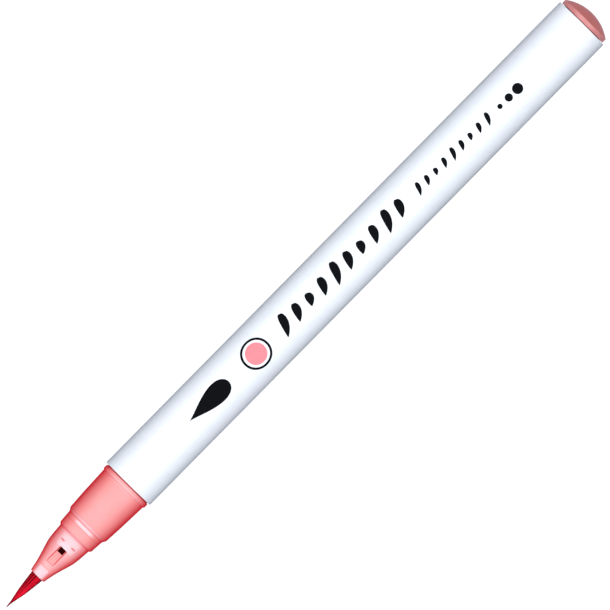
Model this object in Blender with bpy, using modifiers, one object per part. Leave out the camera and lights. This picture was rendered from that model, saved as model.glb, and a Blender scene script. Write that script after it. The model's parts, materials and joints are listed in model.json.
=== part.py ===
"""Brush pen without its cap, lying on its barrel: brush towards +X, vent window on top.

The pen is turned about one axis, so nearly every piece is a profile of (distance, radius)
points, where distance runs back along the pen from the brush's tip. Units are metres.
"""

import math

import bmesh
import bpy
from mathutils import Vector

MM = 0.001
PEN_NAME = "brush_pen"

# Driving dimensions
PEN_LENGTH = 139.6 * MM
BARREL_RADIUS = 5.1 * MM
GAP = 0.3 * MM
HAIR_GAP = 0.15 * MM
HAIR_CLEARANCE = 3 * HAIR_GAP
BIG_SIDES = 32
SMALL_SIDES = 16
WELD = 0.001 * MM

# Stations along the pen, measured back from the brush's tip
MOUTH = 7.45 * MM
FLANGE_FRONT = 28.0 * MM
BARREL_FRONT = 29.08 * MM
BARREL_BACK = 137.15 * MM

# Barrel bore
SPIGOT_SOCKET_RADIUS = 4.45 * MM
SPIGOT_SOCKET_BACK = BARREL_FRONT + 12.0 * MM
LEAD_IN_RADIUS = 4.78 * MM
BORE_RADIUS = 4.2 * MM
PLUG_SOCKET_RADIUS = 4.35 * MM
PLUG_SOCKET_FRONT = BARREL_BACK - 8.0 * MM
AIR_GROOVE_COUNT = 4
AIR_GROOVE_WIDTH = 1.2 * MM
AIR_GROOVE_RADIUS = 4.45 * MM
AIR_GROOVE_MARGIN = 3.0 * MM

# Front section: the tinted nose that holds the brush
MOUTH_RADIUS = 1.46 * MM
MOUTH_BORE_RADIUS = 1.25 * MM
FLANGE_RADIUS = 4.75 * MM
FLANGE_CHAMFER = 0.1 * MM
SPIGOT_RADIUS = SPIGOT_SOCKET_RADIUS - GAP
SPIGOT_CHAMFER = 0.5 * MM
LIP_ROUNDING = 0.12 * MM
SPIGOT_BACK = SPIGOT_SOCKET_BACK - GAP
ROOT_SEAT_RADIUS = 2.2 * MM
COLLAR_SEAT_RADIUS = 2.85 * MM
COLLAR_SEAT_BACK = 21.4 * MM
HOLDER_SEAT_RADIUS = 3.35 * MM

# Vent window in the top of the nose
WINDOW_FRONT = 10.5 * MM
WINDOW_BACK = 13.8 * MM
WINDOW_WIDTH = 1.45 * MM
WINDOW_FLOOR = 2.4 * MM
WINDOW_SLOPE = math.radians(4.0)
WINDOW_OVERRUN = 0.33 * MM
VENT_FRONT = 12.86 * MM
VENT_WIDTH = 1.2 * MM
VENT_FLOOR = 1.6 * MM
CUTTER_TOP = 4.0 * MM

# Brush: its filaments bend at four hinges, each the centre of a rounded joint
HINGES = (7.4 * MM, 5.6 * MM, 4.1 * MM, 2.7 * MM)
HINGE_RADII = (0.9 * MM, 0.93 * MM, 0.71 * MM, 0.42 * MM)
BRUSH_SHAPE = (
    (0.0, 0.03 * MM),
    (0.9 * MM, 0.12 * MM),
    (1.4 * MM, 0.16 * MM),
    (2.1 * MM, 0.31 * MM),
    (2.7 * MM, 0.42 * MM),
    (4.1 * MM, 0.71 * MM),
    (5.6 * MM, 0.93 * MM),
    (7.1 * MM, 1.1 * MM),
)
SHANK_RADIUS = MOUTH_BORE_RADIUS - GAP
SHANK_BACK = 15.2 * MM
ROOT_FRONT = SHANK_BACK + GAP
ROOT_BACK = ROOT_FRONT + 1.2 * MM
ROOT_RADIUS = ROOT_SEAT_RADIUS - GAP
ROOT_HOLE_RADIUS = 0.65 * MM

# Ink feed
COLLAR_FRONT = ROOT_BACK + GAP
COLLAR_BACK = COLLAR_FRONT + 3.8 * MM
FEED_HOLE_RADIUS = 1.35 * MM
RELAY_RADIUS = FEED_HOLE_RADIUS - GAP
RELAY_TIP_RADIUS = 0.3 * MM
RELAY_TIP_LENGTH = 1.2 * MM
RELAY_FRONT = ROOT_FRONT + GAP
RELAY_BACK = 49.0 * MM
HOLDER_FRONT = 22.2 * MM
HOLDER_BACK = 28.2 * MM
HOLDER_GROOVE_COUNT = 3
HOLDER_GROOVE_WIDTH = 0.9 * MM
HOLDER_GROOVE_RADIUS = 2.3 * MM

# Reservoir
FILM_RADIUS = BORE_RADIUS - GAP
FILM_THICKNESS = 0.2 * MM
FILM_FRONT = SPIGOT_SOCKET_BACK + 0.6 * MM
FILM_BACK = 126.4 * MM
FILM_OVERHANG = 0.4 * MM
FIBRE_RADIUS = FILM_RADIUS - FILM_THICKNESS - GAP
FIBRE_HOLE_DEPTH = 7.4 * MM

# Tail plug
DOME_RADIUS = 4.65 * MM
DOME_HEIGHT = 1.5 * MM
DOME_STEPS = 8
PLUG_RIM_RADIUS = 4.73 * MM
PLUG_RIM_ROUNDING = 0.15 * MM
PLUG_SHANK_RADIUS = PLUG_SOCKET_RADIUS - GAP
PLUG_SHANK_LENGTH = 6.4 * MM
PLUG_WALL = 0.9 * MM
PLUG_LEAD_IN = 0.4 * MM

ARC_STEPS = 5

# Colours are linear RGB: name, (red, green, blue), roughness
BARREL_WHITE = ("white_plastic", (0.88, 0.89, 0.91), 0.25)
NOSE_PINK = ("tinted_plastic", (0.86, 0.30, 0.32), 0.3)
PLUG_ROSE = ("rose_plastic", (0.72, 0.22, 0.23), 0.35)
WET_CRIMSON = ("wet_filaments", (0.42, 0.005, 0.03), 0.3)
FUSED_CRIMSON = ("fused_nylon", (0.3, 0.01, 0.03), 0.4)
CLEAR_PINK = ("clear_plastic", (0.85, 0.45, 0.46), 0.25)
INKED_FIBRE = ("inked_fibre", (0.62, 0.04, 0.08), 0.8)
FILM_WHITE = ("wrapping_film", (0.85, 0.82, 0.82), 0.2)


def clear_scene():
    for old_object in list(bpy.data.objects):
        bpy.data.objects.remove(old_object, do_unlink=True)


def new_collection(name):
    collection = bpy.data.collections.new(name)
    bpy.context.scene.collection.children.link(collection)
    return collection


def plain_material(finish):
    name, colour, roughness = finish
    material = bpy.data.materials.get(name) or bpy.data.materials.new(name)
    material.use_nodes = True
    shader = material.node_tree.nodes["Principled BSDF"]
    shader.inputs["Base Color"].default_value = (*colour, 1.0)
    shader.inputs["Roughness"].default_value = roughness
    shader.inputs["Metallic"].default_value = 0.0
    return material


def add_axis(collection):
    """An empty in the middle of the pen whose +Z points to the brush, along the pen's axis."""
    axis = bpy.data.objects.new("pen_axis", None)
    axis.location = (0.0, 0.0, BARREL_RADIUS)
    axis.rotation_euler = (0.0, math.radians(90.0), 0.0)
    collection.objects.link(axis)
    return axis


def arc(centre, radius, start, end, steps=ARC_STEPS):
    """Points (distance, radius) round an arc centred on the axis. 0 degrees faces the tail."""
    points = []
    for step in range(steps + 1):
        angle = math.radians(start + (end - start) * step / steps)
        across = radius * math.sin(angle)
        points.append((centre + radius * math.cos(angle), across if across > WELD else 0.0))
    return points


def turned(name, outline, finish, parent, collection, origin=PEN_LENGTH / 2, sides=BIG_SIDES):
    """Turns an outline of (distance, radius) points, given tip first along its outer side.

    An outline that starts and ends on the axis makes a solid, any other makes a closed ring.
    The flats, not the corners, lie at the stated radius, and one flat faces down."""
    half_facet = math.pi / sides
    builder = bmesh.new()
    corners = []
    for distance, radius in outline:
        corner = radius / math.cos(half_facet)
        across = (corner * math.cos(half_facet), corner * math.sin(half_facet))
        corners.append(builder.verts.new((*across, origin - distance)))
    for first, second in zip(corners, corners[1:]):
        builder.edges.new((first, second))
    if outline[0][1] > 0.0:
        builder.edges.new((corners[-1], corners[0]))
    mesh = bpy.data.meshes.new(name)
    builder.to_mesh(mesh)
    builder.free()
    mesh.materials.append(plain_material(finish))
    piece = bpy.data.objects.new(name, mesh)
    collection.objects.link(piece)
    piece.parent = parent
    screw = piece.modifiers.new("turn", "SCREW")
    screw.steps = sides
    screw.render_steps = sides
    screw.use_merge_vertices = True
    screw.merge_threshold = WELD
    screw.use_smooth_shade = True
    return piece


def box_cutter(name, low, high, collection):
    """A closed box between two corners, in the pen's upright frame."""
    builder = bmesh.new()
    bmesh.ops.create_cube(builder, size=1.0)
    low, high = Vector(low), Vector(high)
    bmesh.ops.scale(builder, vec=high - low, verts=builder.verts)
    bmesh.ops.translate(builder, vec=(low + high) / 2, verts=builder.verts)
    mesh = bpy.data.meshes.new(name)
    builder.to_mesh(mesh)
    builder.free()
    cutter = bpy.data.objects.new(name, mesh)
    cutter.hide_render = True
    cutter.display_type = "WIRE"
    collection.objects.link(cutter)
    return cutter


def cut(piece, cutter):
    boolean = piece.modifiers.new(cutter.name, "BOOLEAN")
    boolean.operation = "DIFFERENCE"
    boolean.solver = "EXACT"
    boolean.object = cutter


def along(distance):
    """The X of a station that lies this far behind the brush's tip."""
    return PEN_LENGTH / 2 - distance


def cut_grooves(piece, name, count, width, front, back, inner, outer, cutters):
    """Cuts evenly spaced grooves along the pen, between two radii."""
    for index in range(count):
        low = (along(back), -width / 2, inner)
        high = (along(front), width / 2, outer)
        cutter = box_cutter(f"{name}_{index + 1}", low, high, cutters)
        cutter.location.z = BARREL_RADIUS
        cutter.rotation_euler.x = math.tau * (index + 0.5) / count
        cut(piece, cutter)


def make_barrel(axis, parts, cutters):
    outline = [
        (BARREL_FRONT, BARREL_RADIUS),
        (BARREL_BACK, BARREL_RADIUS),
        (BARREL_BACK, PLUG_SOCKET_RADIUS),
        (PLUG_SOCKET_FRONT, PLUG_SOCKET_RADIUS),
        (PLUG_SOCKET_FRONT, BORE_RADIUS),
        (SPIGOT_SOCKET_BACK, BORE_RADIUS),
        (SPIGOT_SOCKET_BACK, SPIGOT_SOCKET_RADIUS),
        (BARREL_FRONT + LEAD_IN_RADIUS - SPIGOT_SOCKET_RADIUS, SPIGOT_SOCKET_RADIUS),
        (BARREL_FRONT, LEAD_IN_RADIUS),
    ]
    barrel = turned("barrel", outline, BARREL_WHITE, axis, parts)
    cut_grooves(
        barrel,
        "air_groove",
        AIR_GROOVE_COUNT,
        AIR_GROOVE_WIDTH,
        SPIGOT_SOCKET_BACK + AIR_GROOVE_MARGIN,
        PLUG_SOCKET_FRONT - AIR_GROOVE_MARGIN,
        BORE_RADIUS - GAP,
        AIR_GROOVE_RADIUS,
        cutters,
    )


def nose_outside():
    """The nose from its mouth to the flange: a flared cone, then two collars with sloped steps."""
    return [
        (MOUTH, MOUTH_RADIUS - LIP_ROUNDING),
        (MOUTH + LIP_ROUNDING, MOUTH_RADIUS),
        (9.3 * MM, 1.88 * MM),
        (10.9 * MM, 2.32 * MM),
        (12.5 * MM, 2.8 * MM),
        (13.3 * MM, 2.99 * MM),
        (14.4 * MM, 3.14 * MM),
        (16.2 * MM, 3.27 * MM),
        (16.7 * MM, 3.65 * MM),
        (18.95 * MM, 3.79 * MM),
        (19.65 * MM, 4.19 * MM),
        (22.0 * MM, 4.34 * MM),
        (FLANGE_FRONT, 4.56 * MM),
        (FLANGE_FRONT + FLANGE_CHAMFER, FLANGE_RADIUS),
    ]


def nose_inside():
    """The nose's bore, listed from the spigot forward to the mouth."""
    return [
        (SPIGOT_BACK, HOLDER_SEAT_RADIUS),
        (COLLAR_SEAT_BACK, HOLDER_SEAT_RADIUS),
        (COLLAR_SEAT_BACK, COLLAR_SEAT_RADIUS),
        (COLLAR_FRONT - GAP, COLLAR_SEAT_RADIUS),
        (COLLAR_FRONT - GAP, ROOT_SEAT_RADIUS),
        (13.4 * MM, ROOT_SEAT_RADIUS),
        (11.2 * MM, MOUTH_BORE_RADIUS),
        (MOUTH, MOUTH_BORE_RADIUS),
    ]


def make_front_section(axis, parts, cutters):
    flange_back = BARREL_FRONT - GAP
    outline = nose_outside() + [
        (flange_back, FLANGE_RADIUS),
        (flange_back, SPIGOT_RADIUS),
        (SPIGOT_BACK - SPIGOT_CHAMFER, SPIGOT_RADIUS),
        (SPIGOT_BACK, SPIGOT_RADIUS - SPIGOT_CHAMFER / 2),
    ]
    nose = turned("front_section", outline + nose_inside(), NOSE_PINK, axis, parts)
    channel_length = WINDOW_BACK - WINDOW_FRONT
    channel_low = (0.0, -WINDOW_WIDTH / 2, 0.0)
    channel_high = (channel_length + WINDOW_OVERRUN, WINDOW_WIDTH / 2, CUTTER_TOP - WINDOW_FLOOR)
    channel = box_cutter("window_channel", channel_low, channel_high, cutters)
    channel.location = (along(WINDOW_BACK), 0.0, BARREL_RADIUS + WINDOW_FLOOR)
    channel.rotation_euler.y = WINDOW_SLOPE
    cut(nose, channel)
    vent_low = (along(WINDOW_BACK), -VENT_WIDTH / 2, BARREL_RADIUS + VENT_FLOOR)
    vent_high = (along(VENT_FRONT), VENT_WIDTH / 2, BARREL_RADIUS + CUTTER_TOP)
    cut(nose, box_cutter("vent_hole", vent_low, vent_high, cutters))


def make_tail_plug(axis, parts):
    """A domed plug whose hollow shank presses into the back of the barrel."""
    dome_base = PEN_LENGTH - DOME_HEIGHT
    dome_curve = (DOME_RADIUS**2 + DOME_HEIGHT**2) / (2 * DOME_HEIGHT)
    edge_angle = math.degrees(math.asin(DOME_RADIUS / dome_curve))
    shank_front = BARREL_BACK - PLUG_SHANK_LENGTH
    cup_radius = PLUG_SHANK_RADIUS - PLUG_WALL
    outside = [
        (shank_front, PLUG_SHANK_RADIUS - PLUG_LEAD_IN),
        (shank_front + PLUG_LEAD_IN, PLUG_SHANK_RADIUS),
        (BARREL_BACK + GAP, PLUG_SHANK_RADIUS),
        (BARREL_BACK + GAP, PLUG_RIM_RADIUS),
        (dome_base - PLUG_RIM_ROUNDING, PLUG_RIM_RADIUS),
    ]
    dome = arc(PEN_LENGTH - dome_curve, dome_curve, edge_angle, 0.0, DOME_STEPS)
    cup = [(BARREL_BACK - PLUG_WALL, 0.0), (BARREL_BACK - PLUG_WALL, cup_radius)]
    inside = cup + [(shank_front, cup_radius)]
    turned("tail_plug", inside + outside + dome, PLUG_ROSE, axis, parts)


def hair_zone(index):
    """One bending length of the brush: a socket in front, a ball behind, hair between."""
    hinge, ball = HINGES[index], HINGE_RADII[index]
    if index + 1 < len(HINGES):
        next_hinge = HINGES[index + 1]
        cup = HINGE_RADII[index + 1] + HAIR_GAP
        rim = math.degrees(math.atan2(HINGE_RADII[index + 1] + HAIR_GAP / 2, HAIR_CLEARANCE))
        front = arc(next_hinge, cup, 0.0, rim)
    else:
        next_hinge = -HAIR_GAP
        front = [(0.0, 0.0)]
    side = [(d, r) for d, r in BRUSH_SHAPE if next_hinge + HAIR_CLEARANCE < d < hinge]
    return front + side + arc(hinge, ball, 90.0, 0.0)


def make_brush(axis, parts):
    """The hair: a shank inside the nose, then zones that hang on each other like a chain."""
    rim = math.degrees(math.asin(SHANK_RADIUS / (HINGE_RADII[0] + HAIR_GAP)))
    shank = arc(HINGES[0], HINGE_RADII[0] + HAIR_GAP, 0.0, rim)
    shank += [(SHANK_BACK, SHANK_RADIUS), (SHANK_BACK, 0.0)]
    turned("brush_shank", shank, WET_CRIMSON, axis, parts, sides=SMALL_SIDES)
    parent, parent_origin = axis, PEN_LENGTH / 2
    for index, hinge in enumerate(HINGES):
        name = f"brush_zone_{index + 1}"
        outline = hair_zone(index)
        zone = turned(name, outline, WET_CRIMSON, parent, parts, hinge, SMALL_SIDES)
        zone.location.z = parent_origin - hinge
        parent, parent_origin = zone, hinge


def ring(front, back, outer, inner):
    return [(front, outer), (back, outer), (back, inner), (front, inner)]


def make_feed(axis, parts, cutters):
    """The fused brush root, the collar behind it, the relay rod and the bush that centres it."""
    root = ring(ROOT_FRONT, ROOT_BACK, ROOT_RADIUS, ROOT_HOLE_RADIUS)
    turned("brush_root", root, FUSED_CRIMSON, axis, parts, sides=SMALL_SIDES)
    collar_radius = COLLAR_SEAT_RADIUS - GAP
    collar = ring(COLLAR_FRONT, COLLAR_BACK, collar_radius, FEED_HOLE_RADIUS)
    turned("brush_collar", collar, CLEAR_PINK, axis, parts)
    relay = [
        (RELAY_FRONT, 0.0),
        (RELAY_FRONT, RELAY_TIP_RADIUS),
        (RELAY_FRONT + RELAY_TIP_LENGTH, RELAY_TIP_RADIUS),
        (RELAY_FRONT + 2 * RELAY_TIP_LENGTH, RELAY_RADIUS),
        (RELAY_BACK - RELAY_TIP_LENGTH, RELAY_RADIUS),
        (RELAY_BACK, RELAY_TIP_RADIUS),
        (RELAY_BACK, 0.0),
    ]
    turned("relay_rod", relay, INKED_FIBRE, axis, parts, sides=SMALL_SIDES)
    holder_radius = HOLDER_SEAT_RADIUS - GAP
    bush = ring(HOLDER_FRONT, HOLDER_BACK, holder_radius, FEED_HOLE_RADIUS)
    holder = turned("relay_holder", bush, CLEAR_PINK, axis, parts)
    cut_grooves(
        holder,
        "holder_groove",
        HOLDER_GROOVE_COUNT,
        HOLDER_GROOVE_WIDTH,
        HOLDER_FRONT - GAP,
        HOLDER_BACK + GAP,
        HOLDER_GROOVE_RADIUS,
        HOLDER_SEAT_RADIUS,
        cutters,
    )


def make_reservoir(axis, parts):
    """A fibre core with a blind hole for the relay rod, inside an open sleeve of film."""
    front = FILM_FRONT + FILM_OVERHANG
    back = FILM_BACK - FILM_OVERHANG
    hole_back = front + FIBRE_HOLE_DEPTH
    core = [
        (hole_back, 0.0),
        (hole_back, FEED_HOLE_RADIUS),
        (front, FEED_HOLE_RADIUS),
        (front, FIBRE_RADIUS),
        (back, FIBRE_RADIUS),
        (back, 0.0),
    ]
    turned("reservoir_core", core, INKED_FIBRE, axis, parts)
    film = ring(FILM_FRONT, FILM_BACK, FILM_RADIUS, FILM_RADIUS - FILM_THICKNESS)
    turned("reservoir_film", film, FILM_WHITE, axis, parts)


def main():
    clear_scene()
    parts = new_collection(PEN_NAME)
    cutters = new_collection(PEN_NAME + "_cutters")
    axis = add_axis(parts)
    make_barrel(axis, parts, cutters)
    make_front_section(axis, parts, cutters)
    make_tail_plug(axis, parts)
    make_brush(axis, parts)
    make_feed(axis, parts, cutters)
    make_reservoir(axis, parts)
    bpy.context.view_layer.update()


main()
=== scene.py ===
"""Looks of the brush pen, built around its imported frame.

Lengths are metres. A station is a distance behind the brush's tip, measured along the pen.
"""

import json
import math

import bmesh
import bpy
import numpy as np
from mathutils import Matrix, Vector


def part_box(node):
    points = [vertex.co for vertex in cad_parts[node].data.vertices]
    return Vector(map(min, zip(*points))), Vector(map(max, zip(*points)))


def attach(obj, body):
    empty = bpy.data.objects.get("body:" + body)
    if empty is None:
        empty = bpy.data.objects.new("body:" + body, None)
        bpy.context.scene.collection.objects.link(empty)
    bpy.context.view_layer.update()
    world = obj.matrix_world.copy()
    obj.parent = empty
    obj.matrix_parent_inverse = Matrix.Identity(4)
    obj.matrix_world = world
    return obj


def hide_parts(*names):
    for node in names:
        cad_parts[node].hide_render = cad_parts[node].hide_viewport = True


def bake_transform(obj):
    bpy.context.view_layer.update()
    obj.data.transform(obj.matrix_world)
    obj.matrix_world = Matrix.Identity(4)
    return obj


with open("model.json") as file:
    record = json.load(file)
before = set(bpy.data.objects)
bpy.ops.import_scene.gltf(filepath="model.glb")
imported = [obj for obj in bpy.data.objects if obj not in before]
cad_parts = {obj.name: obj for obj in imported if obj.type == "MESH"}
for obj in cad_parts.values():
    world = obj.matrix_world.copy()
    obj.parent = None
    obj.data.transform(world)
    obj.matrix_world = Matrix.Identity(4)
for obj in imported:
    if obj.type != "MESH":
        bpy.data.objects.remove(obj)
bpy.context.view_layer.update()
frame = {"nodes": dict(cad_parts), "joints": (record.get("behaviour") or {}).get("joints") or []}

MM = 0.001

# The pen's axis, tip and main stations, read from the frame
BARREL_LOW, BARREL_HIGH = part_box("barrel")
TIP_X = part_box("brush_zone_4")[1].x
AXIS_Z = (BARREL_LOW.z + BARREL_HIGH.z) / 2
BARREL_RADIUS = (BARREL_HIGH.z - BARREL_LOW.z) / 2
PEN_LENGTH = TIP_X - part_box("tail_plug")[0].x
BARREL_FRONT = TIP_X - BARREL_HIGH.x
BARREL_BACK = TIP_X - BARREL_LOW.x
MOUTH = TIP_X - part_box("front_section")[1].x
SPIGOT_BACK = TIP_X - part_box("front_section")[0].x
SHANK_BACK = TIP_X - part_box("brush_shank")[0].x
PLUG_FRONT = TIP_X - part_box("tail_plug")[1].x

# Turning
SIDES = 192
ARC_STEPS = 6
SHARP_ANGLE = math.radians(38.0)
TINY = 0.001 * MM

# Barrel
RIM_ROUNDING = 0.12 * MM
OUTLINE_START = BARREL_FRONT + 1.0 * MM
BORE_RADIUS = 4.2 * MM
BORE_TOLERANCE = 0.01 * MM
SPIGOT_SOCKET_RADIUS = 4.45 * MM
SPIGOT_SOCKET_DEPTH = 12.0 * MM
LEAD_IN = 0.33 * MM
PLUG_SOCKET_RADIUS = 4.35 * MM
PLUG_SOCKET_DEPTH = 8.0 * MM
GROOVE_WIDTH = 1.2 * MM
GROOVE_RADIUS = 4.45 * MM
GROOVE_MARGIN = 3.0 * MM
GROOVE_STEP = 0.1 * MM

# Tail plug
PLUG_SHANK_RADIUS = 4.33 * MM
PLUG_WALL = 0.9 * MM
PLUG_LEAD_IN = 0.4 * MM
PLUG_GAP = 0.14 * MM
PLUG_UNDERCUT = 0.35 * MM
PLUG_CUP_ROUNDING = 0.2 * MM
PLUG_ROUNDING = 0.1 * MM
PLUG_RIM_RADIUS = 4.73 * MM
PLUG_RIM_ROUNDING = 0.06 * MM
PLUG_RIM_STEP = 0.02 * MM
DOME_RADIUS = 4.65 * MM
DOME_HEIGHT = 1.5 * MM
DOME_STEPS = 24
DOME_FADE = 0.08 * MM

# Nose
FLANGE_RADIUS = 4.75 * MM
FLANGE_BACK = BARREL_FRONT - 0.2 * MM
SPIGOT_RADIUS = 4.42 * MM
CONE_STEPS = 6
MARKED_ROW = 0.1 * MM
PLAIN_ROW = 0.4 * MM
PLAIN_CONE = (19.8 * MM, 27.6 * MM)
NOSE_COLUMNS = 208
# Pale panels, paler where the wall is thin and partly a painted highlight, painted on the top and
# the underside: two stations, the half widths there, the paleness there, and the fade
PALE_PANELS_AND_HIGHLIGHTS = (
    ((7.45 * MM, 9.25 * MM), (0.82 * MM, 0.92 * MM), (1.0, 0.9), 0.22 * MM),
    ((9.3 * MM, 16.15 * MM), (1.35 * MM, 2.7 * MM), (0.3, 0.5), 0.3 * MM),
    ((9.6 * MM, 16.15 * MM), (0.75 * MM, 1.65 * MM), (0.4, 0.6), 0.55 * MM),
    ((13.75 * MM, 14.8 * MM), (0.8 * MM, 0.8 * MM), (1.0, 1.0), 0.12 * MM),
    ((13.75 * MM, 15.9 * MM), (1.5 * MM, 1.9 * MM), (0.95, 0.8), 0.4 * MM),
    ((18.38 * MM, 18.84 * MM), (1.4 * MM, 1.4 * MM), (1.0, 1.0), 1.1 * MM),
)
PANEL_END_FADE = 0.12 * MM
# Two short lines of painted shade across the nose, one on each side behind the window: station,
# half, inner, outer
PAINTED_SHADE_TICKS = (14.8 * MM, 0.18 * MM, 0.8 * MM, 1.6 * MM)
TICK_SHADE_DEPTH = -2.2
# Fine lines round the nose at its steps, painted highlights where paleness is added and painted
# shade where it is taken away, darkest at the flange's back edge against the barrel: station, half
# width, and paleness added or taken away
PAINTED_STEP_LINES = (
    (9.42 * MM, 0.12 * MM, -0.4),
    (16.5 * MM, 0.22 * MM, 1.6),
    (18.2 * MM, 0.12 * MM, -0.4),
    (19.32 * MM, 0.3 * MM, 1.8),
    (18.98 * MM, 0.12 * MM, -0.5),
    (28.03 * MM, 0.2 * MM, 1.4),
    (28.4 * MM, 0.3 * MM, 0.25),
    (FLANGE_BACK + 0.1 * MM, 0.16 * MM, -3.0),
)

# Vent window
WINDOW_FRONT = 10.4 * MM
WINDOW_BACK = 13.8 * MM
WINDOW_ROW = 0.1 * MM
WINDOW_FLOOR = 2.2 * MM
WINDOW_SLOPE = math.radians(3.0)
WINDOW_FOOT = 0.64 * MM
WINDOW_TOP = 0.78 * MM
WALL_DEEPEST = 0.22 * MM
# Painted shade in the vent window, as paleness: its side walls at their foot, its front row, and
# its floor's two ends
SIDE_WALL_PAINTED_SHADE = -0.6
FRONT_PAINTED_SHADE = -0.4
FLOOR_PAINTED_SHADE = (-0.1, -0.2)
VENT_FRONT = 12.8 * MM
VENT_HALF = 0.56 * MM
EDGE_ROUNDING = 0.02 * MM
WINDOW_COLUMNS = tuple(
    step * MM
    for step in (0.0, 0.14, 0.28, 0.42, 0.56, 0.64, 0.67, 0.71, 0.75, 0.78, 0.82, 0.9, 1.0, 1.1)
)

# Brush: the bundle's outline as (station, radius), its filaments and its locks
BRUSH_OUTLINE = (
    (0.0, 0.03 * MM),
    (0.4 * MM, 0.12 * MM),
    (1.0 * MM, 0.175 * MM),
    (1.6 * MM, 0.265 * MM),
    (2.1 * MM, 0.37 * MM),
    (3.0 * MM, 0.565 * MM),
    (4.0 * MM, 0.755 * MM),
    (5.2 * MM, 0.91 * MM),
    (7.4 * MM, 1.18 * MM),
    (8.2 * MM, 1.19 * MM),
    (15.2 * MM, 1.19 * MM),
)
BRUSH_ROW = 0.2 * MM
MOUTH_MARGIN = 0.4 * MM
# Layers of filaments: how far out each lies, and how many it has
FILAMENT_LAYERS = ((1.0, 92), (0.93, 64))
FILAMENT_RADIUS = 0.043 * MM
FILAMENT_TAPER = 0.75
FILAMENT_POINT = 1.6 * MM
FILAMENT_POINT_POWER = 0.6
FILAMENT_JITTER = 0.3
FILAMENT_SHADE = 0.12
FILAMENT_WAVE = 3.0
FILAMENT_WANDER = 0.02
FILAMENT_LIFT = 0.008
FILAMENT_SIDES = 6
# The share of filaments that reach the tip, and how far behind it those and the others end
TIP_SHARE = 0.12
TIP_ENDS = (0.0 * MM, 0.5 * MM)
OTHER_ENDS = (0.9 * MM, 2.6 * MM)
CORE_SHARE = 0.88
CORE_THINNEST = 0.004 * MM
CORE_SIDES = 32
# The core deep among the filaments and the hair hidden inside the nose are painted dark, as painted
# shade
CORE_LIGHT = 0.5
CORE_SHADE = 0.3
HIDDEN_LIGHT = 0.07
# Locks round the bundle: the angle of the gap before each, the lock's shade, the gap's half width.
# The dark locks from 60, 278 and 294 degrees are painted shade at the sides seen from above, and
# the light lock from 356 degrees a painted highlight; the other shades are the locks' own tones.
LOCKS = (
    (17.0, 0.85, 4.0),
    (42.0, 0.8, 5.0),
    (60.0, -0.1, 4.0),
    (104.0, 0.6, 9.0),
    (132.0, 0.45, 6.0),
    (160.0, 0.7, 12.0),
    (203.0, 0.5, 7.0),
    (238.0, 0.65, 12.0),
    (278.0, 0.05, 6.0),
    (294.0, 0.28, 4.0),
    (334.0, 0.75, 5.0),
    (356.0, 1.1, 14.0),
)
# How light the hair is painted along the brush, by station: dark at the point, lightest a little
# behind it, darker towards the root
HAIR_LIGHT = ((0.0, 0.25), (1.4 * MM, 0.4), (2.5 * MM, 0.84), (3.8 * MM, 0.8), (5.4 * MM, 0.62))
STREAK_SHADE = 0.12
STREAK_COUNTS = (23, 37)
FINE_STREAKS = 0.5
# How many degrees from a gap the filaments still draw away from it, and how far in radians
LOCK_REACH = 24.0
LOCK_PULL = 0.035
GAP_DEPTH = 0.07
# The gaps between locks are also painted this much darker, as painted shade
GAP_DARKNESS = 0.95
GAP_FADE = 3.8 * MM
SEED = 7

# Print on the barrel
INK_HEIGHT = 0.008 * MM
INK_SUNK = 0.01 * MM
BLACK_INK = (0.002, 0.002, 0.003)
PINK_INK = (0.80, 0.24, 0.26)
# Worn ink is this many times as light, with this much grey added
INK_WEAR = (1.15, 0.004)
BLACK_SLOT = 0
PINK_SLOT = 1
# Each mark stops short of its ends by this share, so that no row of it closes to a point
END_MARGIN = 0.02
DROP_AT = 48.4 * MM
DROP_LENGTH = 9.4 * MM
DROP_WIDTH = 4.6 * MM
DROP_FULLNESS = 0.56
DROP_POINT_POWER = 1.6
DROP_STEPS = 40
DROP_SIDES = 12
SWATCH_AT = 59.6 * MM
SWATCH_RADIUS = 2.75 * MM
SWATCH_LINE = 0.42 * MM
RING_STEPS = 36
RING_SIDES = 2
ROUND_STEPS = 16
# Rows of dabs: first station, count, pitch, length, width, lean
DAB_ROWS = (
    (66.2 * MM, 10, 3.05 * MM, 4.4 * MM, 2.1 * MM, math.radians(24.0)),
    (98.2 * MM, 9, 2.05 * MM, 2.5 * MM, 1.15 * MM, math.radians(24.0)),
)
DAB_STEPS = 24
DAB_SIDES = 8
DAB_FULLNESS = 0.85
DAB_FRONT_POWER = 0.9
DAB_BACK_POWER = 0.45
DAB_BEND = 0.06
# Dabs grow and shrink in turn: mean share of the length, change either way, dabs in one turn
DAB_SWELL = (0.78, 0.22, 4.0)
DOTS_AT = 117.6 * MM
DOT_PITCH = 2.1 * MM
DOT_RADII = (0.45 * MM, 0.7 * MM, 0.95 * MM)

# Camera, floor and light
FIELD = 102.0 * MM
CAMERA_LENS = 1500.0
SENSOR_WIDTH = 36.0
CAMERA_CLIP = 0.01
CAMERA_CENTRE = (-1.318 * MM, 0.098 * MM)
CAMERA_ROLL = math.radians(134.59)
FLOOR_HALF = 6.0
FLOOR_GAP = 0.02 * MM
FLOOR_COLOUR = (0.3, 0.3, 0.3)
FLOOR_GLOW = 0.85
FLOOR_BOUNCE = (0.15, 0.155, 0.165)
SOFT_LIGHT_ANGLE = math.radians(100.0)
SOFT_LIGHT_STRENGTH = 3.6
BACKDROP_COLOUR = (1.0, 1.0, 1.0)
AMBIENT_COLOUR = (0.48, 0.67, 1.0)
AMBIENT_STRENGTH = 0.27

# Materials. Noise stays mostly between its low and its high.
NOISE_LOW = 0.3
NOISE_HIGH = 0.7
PLASTIC_IOR = 1.49
NYLON_IOR = 1.53
FILM_IOR = 1.5
EVEN = (1.0, 1.0, 1.0)


# ---- sums and outlines


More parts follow.
